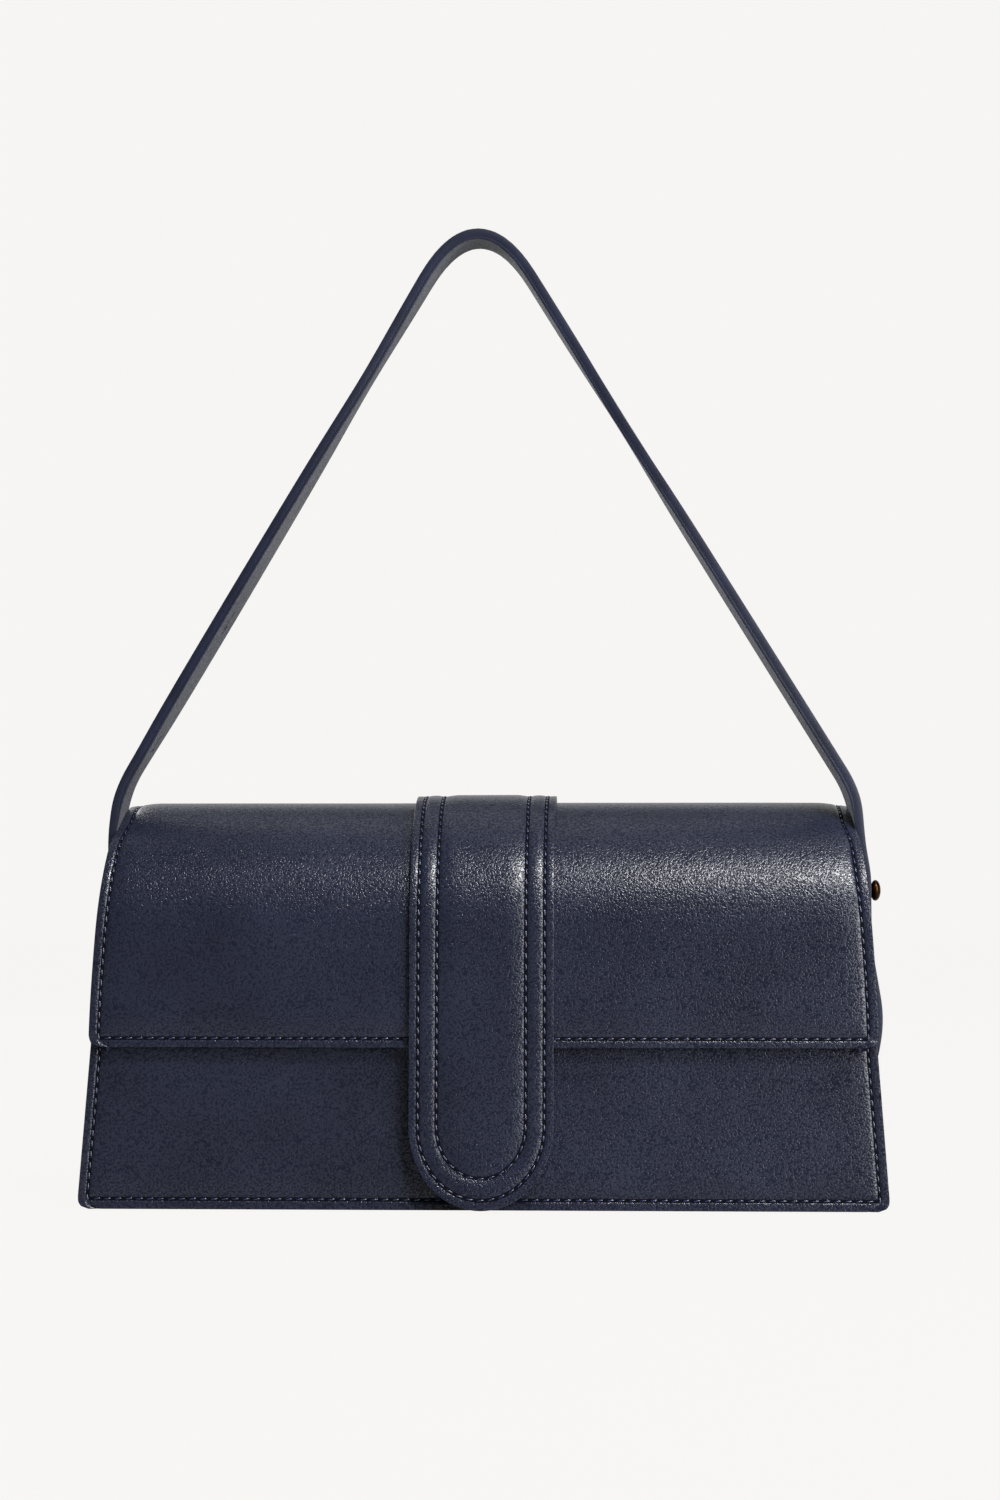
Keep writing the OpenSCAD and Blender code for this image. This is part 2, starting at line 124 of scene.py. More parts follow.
def face_y(z):
    return BASE_D / 2 - z * T


def flap_half_w(z):
    """Half the flap's width: wider than the panels low down, narrower on top to leave room for the strap."""
    t = (z - FLAP_LOW) / (FLAP_SWELL_TOP - FLAP_LOW)
    full = FLAP_SWELL * math.sin(math.pi * t) ** 0.6 if 0 < t < 1 else 0.0
    return half_w(z) + full - FLAP_SWELL * smooth_step((z - STRAP_ROOM_Z) / STRAP_ROOM_RUN)


# The flap's side profile, by the length along its outer face from the hem's low edge

HEM_RUN = HEM_LEN / C
BACK_RUN = BACK_BEND_R * (math.pi / 2 - LEAN)
ARC_RUN = ARC_R * (math.pi / 2 - LEAN)
DROP_TOP = ARC_Z + ARC_R * S
FLAP_END = HEM_RUN + BACK_RUN + ARC_RUN + (DROP_TOP - FLAP_LOW) / C


def flap_at(s):
    """The point (y, z) on the flap's outer face and the outward direction (y, z) there."""
    if s < HEM_RUN:
        d = HEM_RUN - s
        n = (C, S)
        p = (CROWN_BACK + BACK_BEND_R * C + d * S, BEND_Z + BACK_BEND_R * S - d * C)
    elif s < HEM_RUN + BACK_RUN:
        a = LEAN + (s - HEM_RUN) / BACK_BEND_R
        n = (math.cos(a), math.sin(a))
        p = (CROWN_BACK + BACK_BEND_R * n[0], BEND_Z + BACK_BEND_R * n[1])
    elif s < HEM_RUN + BACK_RUN + ARC_RUN:
        a = math.pi / 2 - (s - HEM_RUN - BACK_RUN) / ARC_R
        n = (-math.cos(a), math.sin(a))
        p = (CROWN_BACK + ARC_R * n[0], ARC_Z + ARC_R * n[1])
    else:
        d = s - HEM_RUN - BACK_RUN - ARC_RUN
        n = (-C, S)
        p = (CROWN_BACK - ARC_R * C - d * S, DROP_TOP - d * C)
    return p, n


def arc_s(angle):
    """The length at which the arc's outward direction has this elevation in degrees."""
    return HEM_RUN + BACK_RUN + ARC_R * (math.pi / 2 - math.radians(angle))


def drop_s(z):
    """The length at which the straight lower part has this height."""
    return HEM_RUN + BACK_RUN + ARC_RUN + (DROP_TOP - z) / C


# Where the flap and band are cut: between two creases, where both halves move alike
CROWN_CUT = arc_s(68)
TAB_CUT = drop_s(78)
CUT_STEPS = (0.15, 0.5)


# Tools

def pick(*objects):
    """Selects these objects alone and makes the first one active."""
    for o in bpy.context.selected_objects:
        o.select_set(False)
    for o in objects:
        o.select_set(True)
    if objects:
        bpy.context.view_layer.objects.active = objects[0]


def finish_modifier(obj, kind, **settings):
    pick(obj)
    m = obj.modifiers.new(kind.title(), kind)
    for key, value in settings.items():
        setattr(m, key, value)
    bpy.ops.object.modifier_apply(modifier=m.name)


def edit_whole(action, **settings):
    """Runs one mesh operator on the whole of the active object."""
    bpy.ops.object.mode_set(mode="EDIT")
    bpy.ops.mesh.select_all(action="SELECT")
    action(**settings)
    bpy.ops.object.mode_set(mode="OBJECT")


def dress(obj, name, *materials):
    obj.name = name
    obj.data.name = name
    obj.data.materials.clear()
    for m in materials:
        obj.data.materials.append(m)
    return obj


def leather_sheet(name, columns, rows, place, thick, flip, materials, edge=0.5, smooth=40):
    """A grid whose corners go to place(column, row), given its thickness inwards and round edges."""
    nc, nr = len(columns) - 1, len(rows) - 1
    pick()
    bpy.ops.mesh.primitive_grid_add(x_subdivisions=nc, y_subdivisions=nr, size=1)
    obj = bpy.context.object
    for v in obj.data.vertices:
        i, j = round((v.co.x + 0.5) * nc), round((v.co.y + 0.5) * nr)
        v.co = place(columns[i], rows[j]) * 0.001
    if flip:
        edit_whole(bpy.ops.mesh.flip_normals)
    dress(obj, name, *materials)
    finish_modifier(obj, "SOLIDIFY", thickness=thick * 0.001, offset=-1.0, use_even_offset=False,
                    use_quality_normals=True, material_offset_rim=1 if len(materials) > 1 else 0)
    if edge:
        finish_modifier(obj, "BEVEL", width=edge * 0.001, segments=3, limit_method="ANGLE",
                        angle_limit=math.radians(50), harden_normals=False)
    pick(obj)
    bpy.ops.object.shade_smooth_by_angle(angle=math.radians(smooth))
    return obj


EDGE_STEPS = [0.0, 0.9, 1.5, 2.0, 2.4, 2.75, 3.1, 3.45, 3.8, 4.2, 4.8, 5.6, 6.8, 8.6, 11.0]


def spread(low, high, step, low_edge=True, high_edge=True):
    """Distances from low to high, close together beside an edge that has a stitch row."""
    a = [low + d for d in EDGE_STEPS] if low_edge else [low]
    b = [high - d for d in reversed(EDGE_STEPS)] if high_edge else [high]
    n = max(2, round((b[0] - a[-1]) / step))
    return a + [a[-1] + (b[0] - a[-1]) * k / n for k in range(1, n)] + b


def groove(d, at=3.1, deep=0.5, wide=0.8):
    """The dip that a stitch row pulls into the leather, by the distance d from the edge."""
    return -deep * math.exp(-((d - at) / wide) ** 2)


def swell(d, start=3.4, high=0.35, run=7.0):
    """The leather's rise inside its stitch row."""
    return high * smooth_step((d - start) / run)


def ripple(x, y, z, size=45.0, high=0.18):
    """The slow unevenness of soft leather over a board."""
    return high * noise.noise(Vector((x / size, y / size + 7.3, z / size)))


def round_corner(w, d, r):
    """The half width at the height d above an edge whose corners have the radius r."""
    return w - (r - math.sqrt(max(r * r - (r - d) ** 2, 0))) if d < r else w


# Materials

def hex_rgb(text):
    """An sRGB hex colour as a linear one."""
    parts = [int(text[i:i + 2], 16) / 255 for i in (1, 3, 5)]
    return tuple(p / 12.92 if p <= 0.04045 else ((p + 0.055) / 1.055) ** 2.4 for p in parts) + (1.0,)


def node(tree, kind, settings=None, **inputs):
    """Adds a node, sets its settings and gives each named input a value or a link."""
    n = tree.nodes.new(kind)
    for key, value in (settings or {}).items():
        setattr(n, key, value)
    for key, value in inputs.items():
        numbered = key[0] == "i" and key[1:].isdigit()
        socket = n.inputs[int(key[1:]) if numbered else key.replace("_", " ")]
        if isinstance(value, bpy.types.NodeSocket):
            tree.links.new(value, socket)
        else:
            socket.default_value = value
    return n


def new_material(name):
    """A material with its empty node tree and output."""
    mat = bpy.data.materials.new(name)
    mat.use_nodes = True
    tree = mat.node_tree
    tree.nodes.clear()
    return mat, tree, tree.nodes.new("ShaderNodeOutputMaterial")


def two_tones(tree, fac, dark_at, dark, light_at, light):
    """A colour that goes from dark to light as fac goes from dark_at to light_at."""
    share = node(tree, "ShaderNodeMapRange", None, Value=fac, i1=dark_at, i2=light_at)
    tone = node(tree, "ShaderNodeMixRGB", None, Fac=share.outputs[0], Color1=hex_rgb(dark),
                Color2=hex_rgb(light))
    return tone.outputs["Color"]


# How deep each relief is, in metres, and how wide a patch of one tone is on grained leather, in millimetres
GRAIN_RELIEF = 0.00005
FINE_RELIEF = 0.0001
WEAVE_RELIEF = 0.0002
TONE_PATCH_MM = 35.714

# The width of each finish's tone patches and of its fine relief, in millimetres
PAINT_MM = (16.6667, 1.11111)
THREAD_MM = (3.33333, 0.333333)
PIT_MM = (3.33333, 1.11111)
METAL_MM = (8.33333, 0.666667)
BOARD_MM = (12.5, 1.42857)


def grained_leather(name, dark, light, grain_mm, bump, rough):
    """Corrected-grain cowhide, dyed and pressed: semi-matt, its fine pebble breaking the highlights.

    The pebble is drawn coarser than on such leather, because a finer one doesn't show in the picture.
    """
    mat, tree, out = new_material(name)
    where = node(tree, "ShaderNodeTexCoord").outputs["Object"]
    pebble = node(tree, "ShaderNodeTexNoise", None, Vector=where, Scale=1000.0 / grain_mm, Detail=1.0,
                  Roughness=0.45, Distortion=0.35)
    dome = node(tree, "ShaderNodeMapRange", {"interpolation_type": "SMOOTHSTEP"},
                Value=pebble.outputs["Fac"], i1=0.34, i2=0.66).outputs[0]
    patch = node(tree, "ShaderNodeTexNoise", None, Vector=where, Scale=1000.0 / TONE_PATCH_MM,
                 Detail=3.0).outputs["Fac"]
    tone = two_tones(tree, patch, 0.3, dark, 0.72, light)
    # The pebble's creases are painted darker and its tops a touch lighter: painted shade and light of the
    # grain's relief
    crease_shade = node(tree, "ShaderNodeMapRange", None, Value=dome, i1=0.0, i2=0.6, i3=0.72, i4=1.04)
    tone = node(tree, "ShaderNodeMixRGB", {"blend_type": "MULTIPLY"}, Fac=1.0, Color1=tone,
                Color2=crease_shade.outputs[0])
    relief = node(tree, "ShaderNodeBump", None, Strength=bump, Distance=GRAIN_RELIEF, Height=dome)
    gloss = node(tree, "ShaderNodeMapRange", None, Value=patch, i3=rough - 0.04, i4=rough + 0.05)
    glint = node(tree, "ShaderNodeMapRange", None, Value=dome, i1=0.1, i2=0.9, i3=0.18, i4=0.84)
    shader = node(tree, "ShaderNodeBsdfPrincipled", None, Base_Color=tone.outputs["Color"],
                  Roughness=gloss.outputs[0], Normal=relief.outputs[0], IOR=1.42,
                  Specular_IOR_Level=glint.outputs[0])
    tree.links.new(shader.outputs[0], out.inputs[0])
    return mat


def plain_finish(name, dark, light, rough, widths_mm, bump, metallic=0.0, shine=0.5):
    """A finish with slow tone changes and a fine surface relief."""
    patch_mm, fine_mm = widths_mm
    mat, tree, out = new_material(name)
    where = node(tree, "ShaderNodeTexCoord").outputs["Object"]
    patch = node(tree, "ShaderNodeTexNoise", None, Vector=where, Scale=1000.0 / patch_mm, Detail=3.0)
    fine = node(tree, "ShaderNodeTexNoise", None, Vector=where, Scale=1000.0 / fine_mm, Detail=2.0)
    relief = node(tree, "ShaderNodeBump", None, Strength=bump, Distance=FINE_RELIEF,
                  Height=fine.outputs["Fac"])
    shader = node(tree, "ShaderNodeBsdfPrincipled", None, Roughness=rough, Metallic=metallic,
                  Base_Color=two_tones(tree, patch.outputs["Fac"], 0.35, dark, 0.7, light),
                  Normal=relief.outputs[0], Specular_IOR_Level=shine)
    tree.links.new(shader.outputs[0], out.inputs[0])
    return mat


def woven_finish(name, dark, light, thread_mm):
    """Woven lining cloth: two crossed thread waves, drawn a little coarse so that they show."""
    mat, tree, out = new_material(name)
    where = node(tree, "ShaderNodeTexCoord").outputs["Object"]
    waves = [node(tree, "ShaderNodeTexWave", {"wave_type": "BANDS", "bands_direction": axis}, Vector=where,
                  Scale=1000.0 / thread_mm / 6.28, Distortion=0.6, Detail=1.0) for axis in ("X", "Z")]
    cross = node(tree, "ShaderNodeMath", {"operation": "MAXIMUM"}, i0=waves[0].outputs["Fac"],
                 i1=waves[1].outputs["Fac"]).outputs[0]
    relief = node(tree, "ShaderNodeBump", None, Strength=0.5, Distance=WEAVE_RELIEF, Height=cross)
    shader = node(tree, "ShaderNodeBsdfPrincipled", None, Roughness=0.85, Normal=relief.outputs[0],
                  Base_Color=two_tones(tree, cross, 0.2, dark, 0.9, light), Sheen_Weight=0.2)
    tree.links.new(shader.outputs[0], out.inputs[0])
    return mat


# Dyed cowhide with a pressed grain: deep navy, its highlights broken into specks
navy_leather = grained_leather("navy_grained_cowhide", "#1b1e2c", "#212535", 0.72, 1.0, 0.25)
# Dyed smooth leather of the facings and the tab's back: flatter and duller than the outside
smooth_leather = grained_leather("navy_smooth_facing_leather", "#1e2233", "#23273a", 0.9, 0.3, 0.46)
# Leather of the strap's inside: mid grey and matt
grey_leather = grained_leather("grey_strap_backing_leather", "#52545b", "#63656a", 0.8, 0.35, 0.6)
# Paint rolled on the cut edges: closed and even, with a soft shine
edge_paint = plain_finish("navy_edge_paint", "#1b2032", "#232a40", 0.4, PAINT_MM, 0.25)
# The strap's edge paint is a darker copy of the other: painted shade, which draws its edges as thin lines
shaded_strap_paint = plain_finish("strap_edge_paint_with_painted_shade", "#0c1022", "#141a30", 0.4, PAINT_MM, 0.25)
# Waxed polyester thread: bluer than the leather, each stitch catching a point of light
thread = plain_finish("waxed_navy_polyester_thread", "#151c3c", "#1f284e", 0.26, THREAD_MM, 0.4, shine=0.9)
# The shadow in the needle holes and under the thread: almost black, without shine
pit_black = plain_finish("needle_groove_shadow", "#05070e", "#080a14", 0.95, PIT_MM, 0.2, shine=0.1)
# Woven lining: light grey and soft
lining_cloth = woven_finish("grey_twill_lining_cloth", "#50555c", "#666b70", 0.55)
# Turned brass drawn dark brown: painted shade over the gold-toned metal, with a small warm gleam on the dome
shade_darkened_brass = plain_finish("turned_brass_darkened_as_shade", "#2a190d", "#452b15", 0.28, METAL_MM, 0.15, metallic=1)
# Nickel-plated steel of the inside washers: pale and bright
nickel = plain_finish("nickel_plated_steel", "#a9adb2", "#bcc0c4", 0.3, METAL_MM, 0.1, metallic=1)
# Pressed board that stiffens the walls: brown-grey and matt
board = plain_finish("grey_board_stiffener", "#7d705d", "#8a7c68", 0.85, BOARD_MM, 0.3)

LEATHER = (navy_leather, edge_paint)
FACING = (smooth_leather, edge_paint)
CLOTH = (lining_cloth,)


# Stitches

def taken_apart(obj, scale=(1.0, 1.0, 1.0)):
    """The object's corners, scaled, and its faces. The object itself goes."""
    co = np.array([v.co for v in obj.data.vertices]) * np.array(scale)
    faces = [list(p.vertices) for p in obj.data.polygons]
    bpy.data.objects.remove(obj)
    return co, faces


def stitch_shape():
    """One stitch lying along X: a thread that dives into its holes at both ends. Its corners and faces."""
    pick()
    bpy.ops.mesh.primitive_uv_sphere_add(segments=8, ring_count=7, radius=0.5)
    edit_whole(bpy.ops.transform.rotate, value=math.pi / 2, orient_axis="Y", center_override=(0, 0, 0))
    edit_whole(bpy.ops.transform.resize, value=(STITCH_LEN, STITCH_W, STITCH_W * 0.8))
    co, faces = taken_apart(bpy.context.object)
    co[:, 2] -= STITCH_DIVE * (2 * co[:, 0] / STITCH_LEN) ** 4
    return co, faces


def pit_shape():
    """One needle hole: a small dark dish between two stitches."""
    pick()
    bpy.ops.mesh.primitive_circle_add(vertices=8, radius=0.5, fill_type="NGON")
    edit_whole(bpy.ops.mesh.extrude_region_move, TRANSFORM_OT_translate={"value": (0, 0, -PIT_DEEP)})
    return taken_apart(bpy.context.object, PIT_SIZE)


STITCH = stitch_shape()
PIT = pit_shape()


def walk(place, corners, step=0.4):
    """Points and normals on a surface, by steps along a line of corners given in its own two lengths."""
    out = []
    for (a0, b0), (a1, b1) in zip(corners, corners[1:]):
        n = max(1, math.ceil(math.hypot(a1 - a0, b1 - b0) / step))
        out += [place(a0 + (a1 - a0) * k / n, b0 + (b1 - b0) * k / n) for k in range(n)]
    return out + [place(*corners[-1])]


def run_along(points):
    """The length of a line of points up to each of them."""
    return np.concatenate([[0], np.cumsum(np.linalg.norm(np.diff(points, axis=0), axis=1))])


def unit(v):
    return v / np.linalg.norm(v)


class SurfaceLine:
    """A line on a surface, read by its length: the point, the way ahead and the outward direction."""

    def __init__(self, place, corners):
        trail = walk(place, corners)
        self.points = np.array([p for p, n in trail])
        self.normals = np.array([n for p, n in trail])
        self.run = run_along(self.points)
        self.length = self.run[-1]

    def value(self, table, s):
        return np.array([np.interp(s, self.run, table[:, c]) for c in range(3)])

    def at(self, s):
        ahead = self.value(self.points, s + 0.5) - self.value(self.points, s - 0.5)
        return self.value(self.points, s), ahead, unit(self.value(self.normals, s))


def stitch_row(line, sink, pitch, slant):
    """The corners of each stitch and pit along a line, and the faces, each with a mark for the dark ones."""
    count = max(1, round(line.length / pitch))
    stitch = (STITCH, 0.0, math.radians(slant), -sink)
    pit = (PIT, 0.5, 0.0, -PIT_SINK - sink / 2)
    co, faces, base = [], [], 0
    for k in range(count):
        for shape, shift, turn, lift in (stitch, pit) if k < count - 1 else (stitch,):
            p, x, z = line.at((k + 0.5 + shift) * line.length / count)
            x = unit(x - z * (x @ z))
            y = np.cross(z, x)
            x, y = x * math.cos(turn) + y * math.sin(turn), y * math.cos(turn) - x * math.sin(turn)
            co.append(p + z * lift + shape[0] @ np.array([x, y, z]))
            faces += [([base + v for v in f], shape is PIT) for f in shape[1]]
            base += len(shape[0])
    return co, faces, base


def shadow_ribbon(line, base):
    """A narrow dark strip under the stitches, in the bottom of their groove."""
    steps = max(2, round(line.length / 1.5))
    ribbon = []
    for k in range(steps + 1):
        p, ahead, z = line.at(line.length * k / steps)
        y = unit(np.cross(z, ahead)) * RIBBON_HALF_W
        ribbon += [p + z * RIBBON_LIFT - y, p + z * RIBBON_LIFT + y]
    corners = [[base + 2 * k + c for c in (0, 2, 3, 1)] for k in range(steps)]
    return np.array(ribbon), [(f, True) for f in corners]


def seam(name, place, corners, sink=-0.2, pitch=STITCH_PITCH, slant=7.0):
    """A row of stitches on a surface. place gives the point and the outward direction, in millimetres."""
    line = SurfaceLine(place, corners)
    co, faces, base = stitch_row(line, sink, pitch, slant)
    ribbon, strip = shadow_ribbon(line, base)
    co.append(ribbon)
    faces += strip
    mesh = bpy.data.meshes.new(name)
    mesh.from_pydata((np.concatenate(co) * 0.001).tolist(), [], [f for f, dark in faces])
    mesh.polygons.foreach_set("use_smooth", [not dark for f, dark in faces])
    obj = bpy.data.objects.new(name, mesh)
    bpy.context.scene.collection.objects.link(obj)
    dress(obj, name, thread, pit_black)
    mesh.polygons.foreach_set("material_index", [int(dark) for f, dark in faces])
    return obj


# Body panels

HALF_COLS = 138.0
WALL_STEP = 5.0
PANEL_FADE = 10.0
PANEL_SIDE_STITCH = 3.3
PANEL_LOW_STITCH = 3.5
INSIDE_INSET = GUSSET_RECESS + LEATHER_T + LINING_T
WALLS = ((-1, "front", FRONT_H), (1, "back", BACK_H))


def panel_place(side, depth, top, inset, corner, puff):
    """A front (side -1) or back (side 1) layer as a function of the share across and the height."""
    def place(x_edge, z):
        w = round_corner(half_w(z) - inset, z, corner) if corner else half_w(z) - inset
        x = w * x_edge / HALF_COLS
        lift = 0.0
        if puff:
            d_side = w - abs(x)
            lift = min(groove(d_side, PANEL_SIDE_STITCH), groove(z, PANEL_LOW_STITCH))
            lift += swell(min(d_side, max(z, 0.0))) + ripple(x, side * 30, z)
            lift *= min(max((top - z) / PANEL_FADE, 0), 1)
        return Vector((x, side * (face_y(z) - depth / C + lift), z))
    return place


def side_columns(step):
    return spread(-HALF_COLS, HALF_COLS, step)


def wall_sheet(name, side, depth, thick, z0, z1, inset, materials, corner=0.0, puff=False, edge=0.4):
    place = panel_place(side, depth, z1, inset, corner, puff)
    rows = spread(z0, z1, WALL_STEP, low_edge=puff, high_edge=False)
    return leather_sheet(name, side_columns(WALL_STEP), rows, place, thick, side > 0, materials, edge=edge)


def on_panel(side, place):
    """The panel's surface for a seam: point and outward direction."""
    def surface(x, z):
        p = place(x / half_w(z) * HALF_COLS, z)
        return p, Vector((0, side * C, S))
    return surface


def soft(obj, body, slot_name, *replaced):
    """Puts a piece on its body and in place of the nodes it stands for. Its slot_name is not used."""
    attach(obj, body)
    if replaced:
        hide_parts(*replaced)
    return obj


def stand_flat(obj):
    """No corner of a standing piece reaches below the floor."""
    for v in obj.data.vertices:
        v.co.z = max(v.co.z, 0.0)


def make_body():
    for side, name, top in WALLS:
        panel = wall_sheet(f"{name}_panel_leather", side, 0, LEATHER_T, 0, top, 0, LEATHER, CORNER_R, True)
        stand_flat(panel)
        soft(panel, "body", "leather", f"{name}_panel")
    low = PANEL_LOW_STITCH
    for side, name, top in WALLS:
        place = on_panel(side, panel_place(side, 0, top, 0, CORNER_R, True))
        run = [(way * (half_w(z) - PANEL_SIDE_STITCH), z)
               for way, z in ((-1, top - 2), (-1, low), (1, low), (1, top - 2))]
        soft(seam(f"{name}_panel_stitches", place, run), "body", "leather")
    depth = LEATHER_T + BOARD_T
    for side, name, top in WALLS:
        cloth = wall_sheet(f"{name}_lining_cloth", side, depth, LINING_T, WALL_T, top - FACING_H,
                           INSIDE_INSET, CLOTH, edge=0)
        soft(cloth, "body", "lining", f"{name}_lining")
        strip = wall_sheet(f"{name}_facing_leather", side, depth, LINING_T * 2, top - FACING_H, top,
                           INSIDE_INSET, FACING, edge=0.3)
        soft(strip, "body", "dark_leather", f"{name}_facing")


GUSSET_UNDER_ARC = 4.0
GUSSET_UNDER_TOP = 5.5
GUSSET_BEND = 1.6
GUSSET_LIP = 0.55
GUSSET_MIDDLE = 10
GUSSET_FOOT = 0.2
FLANGE_CUT = 3.4
GUSSET_ROWS = [k / 26 for k in range(27)]


def gusset_top(y):
    """The height of the gusset's upper edge, under the flap's curve."""
    r = ARC_R - FLAP_T - GUSSET_UNDER_ARC
    flat = BAG_H - FLAP_T - GUSSET_UNDER_TOP
    if y >= CROWN_BACK:
        return flat
    return min(flat, ARC_Z + math.sqrt(max(r * r - (y - CROWN_BACK) ** 2, 0)))


def gusset_section(z):
    """The gusset's points at a height, front to back: each one's depth and its inset from the bag's side."""
    y1 = face_y(z) - LEATHER_T / C
    lip = GUSSET_RECESS * GUSSET_LIP
    left = [(-y1, 0.3), (-y1, lip)]
    for k in range(5):
        a = math.pi / 2 * k / 4
        left.append((-y1 + GUSSET_BEND * (1 - math.cos(a)) + 0.35,
                     lip + (GUSSET_RECESS - lip) * math.sin(a)))
    right = [(-y, inset) for y, inset in reversed(left)]
    y0, y1 = left[-1][0], right[0][0]
    middle = [(y0 + (y1 - y0) * k / GUSSET_MIDDLE, GUSSET_RECESS) for k in range(1, GUSSET_MIDDLE)]
    return left + middle + right


def make_gusset(side, name):
    """A side wall let in between the panels, its seam allowances turned out along both."""
    def place(i, t):
        on_flange = max(0.0, 1 - gusset_section(0.0)[i][1] / GUSSET_RECESS)
        z_low = GUSSET_FOOT + FLANGE_CUT * on_flange ** 1.5
        z = 100.0
        for _ in range(3):
            z = z_low + (gusset_top(gusset_section(z)[i][0]) - z_low) * t
        y, inset = gusset_section(z)[i]
        if z > 20:
            middle = 1 - min(abs(y) / 20.0, 1.0)
            inset += 0.35 * middle * noise.noise(Vector((y / 30, z / 40, side * 3.0)))
        return Vector((side * (half_w(z) - inset), y, z))

    def cloth(i, t):
        z = 100.0
        for _ in range(3):
            y = (face_y(z) - (WALL_T + LINING_T) / C) * (-1 + 2 * i / 12)
            z = WALL_T + (gusset_top(y) - 2 - WALL_T) * t
        return Vector((side * (half_w(z) - GUSSET_RECESS - LEATHER_T), y, z))

    columns = list(range(len(gusset_section(0.0))))
    obj = leather_sheet(f"{name}_gusset_leather", columns, GUSSET_ROWS, place, LEATHER_T, side < 0, LEATHER,
                        edge=0.35, smooth=50)
    soft(obj, "body", "leather", f"{name}_gusset")
    lining = leather_sheet(f"{name}_gusset_cloth", list(range(13)), GUSSET_ROWS, cloth, LINING_T, side < 0,
                           CLOTH, edge=0)
    soft(lining, "body", "lining", f"{name}_gusset_lining")


def level_sheet(name, x1, y1, z, thick, flip, materials, edge):
    """A level rectangle from -x1 to x1 and from -y1 to y1 at the height z."""
    def place(x, y):
        return Vector((x, y, z))
    cols = spread(-x1, x1, 6.0, False, False)
    rows = spread(-y1, y1, 6.0, False, False)
    return leather_sheet(name, cols, rows, place, thick, flip, materials, edge=edge)


def make_base():
    y1 = face_y(0) - LEATHER_T / C
    obj = level_sheet("base_leather", half_w(0) - CORNER_R, y1, 0.0, LEATHER_T, True, LEATHER, 0.2)
    soft(obj, "body", "leather", "base_panel")
    y1 = face_y(WALL_T) - LEATHER_T / C - BOARD_T - 0.2
    cloth = level_sheet("base_lining_cloth", half_w(0) - INSIDE_INSET, y1, WALL_T, LINING_T, False, CLOTH, 0)
    soft(cloth, "body", "lining", "base_lining")


POCKET_HALF_W = 75.0
POCKET_LOW = 18.0
POCKET_TOP = 90.0
POCKET_T = 0.8
POCKET_HEM = 6.0


def make_pocket():
    """The slip pocket's patch, a little fuller in its middle, with a folded hem along its mouth."""
    w, z0, z1 = POCKET_HALF_W, POCKET_LOW, POCKET_TOP

    def place(x, z):
        full = swell(min(w - abs(x), z - z0), 1.0, 0.8, 20.0) + (0.4 if z > z1 - POCKET_HEM else 0)
        return Vector((x, face_y(z) - WALL_T / C - POCKET_T - full, z))

    def surface(x, z):
        return place(x, z), Vector((0, -C, -S))
    cols = spread(-w, w, 5.0, False, False)
    rows = spread(z0, z1 - 6.4, 5.0, False, False) + [z1 - 5.9, z1 - 3, z1]
    obj = leather_sheet("slip_pocket_cloth", cols, rows, place, -POCKET_T, False, CLOTH, edge=0.2)
    soft(obj, "body", "lining", "slip_pocket")
    side_run = [(-w + 2, z1), (-w + 2, z0 + 2), (w - 2, z0 + 2), (w - 2, z1)]
    hem_run = [(-w + 3, z1 - 5.2), (w - 3, z1 - 5.2)]
    for name, run in (("slip_pocket_stitches", side_run), ("slip_pocket_hem_stitches", hem_run)):
        soft(seam(name, surface, run, sink=0.2, pitch=3.2), "body", "leather")


# Flap

FLAP_SIDE_STITCH = 3.4
FLAP_LOW_STITCH = 3.0
HEM_STITCH = 3.0
CORNER_SAG = 0.8
CORNER_SAG_W = 9
SAG_FRONT = (122, 16)
SAG_BACK = (131, 9)


def flap_place(depth, inset, puff):
    """A layer of the flap as a function of the share across and the length from the hem."""
    def place(x_edge, s):
        (y, z), n = flap_at(s)
        d_low = FLAP_END - s
        w = flap_half_w(z) - inset
        if d_low >= inset:
            w = round_corner(w, d_low - inset, CORNER_R)
        x = w * x_edge / HALF_COLS
        lift = -depth
        if puff:
            d_side = w - abs(x)
            d = min(d_side, max(d_low, 0), s)
            lift += min(groove(d_side, FLAP_SIDE_STITCH), groove(d_low, FLAP_LOW_STITCH),
                        groove(s, HEM_STITCH))
            lift += swell(d, 3.4, 0.4) + ripple(x, y, z, 60, 0.22)
            z0, run = SAG_FRONT if y < 0 else SAG_BACK
            sag = smooth_step((z - z0) / run)
            lift -= CORNER_SAG * (1 - min(d_side / CORNER_SAG_W, 1)) ** 2 * sag
        return Vector((x, y + n[0] * lift, z + n[1] * lift))
    return place


def flap_surface(place):
    """The flap's surface for a seam: point and outward direction."""
    def surface(x, s):
        (y, z), n = flap_at(s)
        return place(x / flap_half_w(z) * HALF_COLS, s), Vector((0, n[0], n[1]))
    return surface


def close_rows(low, high, step, edge_low=False, edge_high=False, cut_low=False, cut_high=False):
    """Lengths along the flap: close beside an edge with stitches, and very close beside a cut."""
    rows = spread(low, high, step, edge_low, edge_high)
    if cut_low:
        rows[1:1] = [low + d for d in CUT_STEPS]
    if cut_high:
        rows[-1:-1] = [high - d for d in reversed(CUT_STEPS)]
    return rows


BLEND_OPEN = dict(start=mm(0, *flap_at(arc_s(63))[0]), end=mm(0, *flap_at(arc_s(29))[0]))
BLEND_TAB = dict(start=mm(0, *flap_at(drop_s(57))[0]), end=mm(0, *flap_at(drop_s(43))[0]))


def flap_side_run(side, s0, s1, n=24):
    """The stitch line beside the flap's left (-1) or right (1) edge."""
    out = []
    for k in range(n + 1):
        s = s0 + (s1 - s0) * k / n
        out.append((side * (flap_half_w(flap_at(s)[0][1]) - FLAP_SIDE_STITCH), s))
    return out


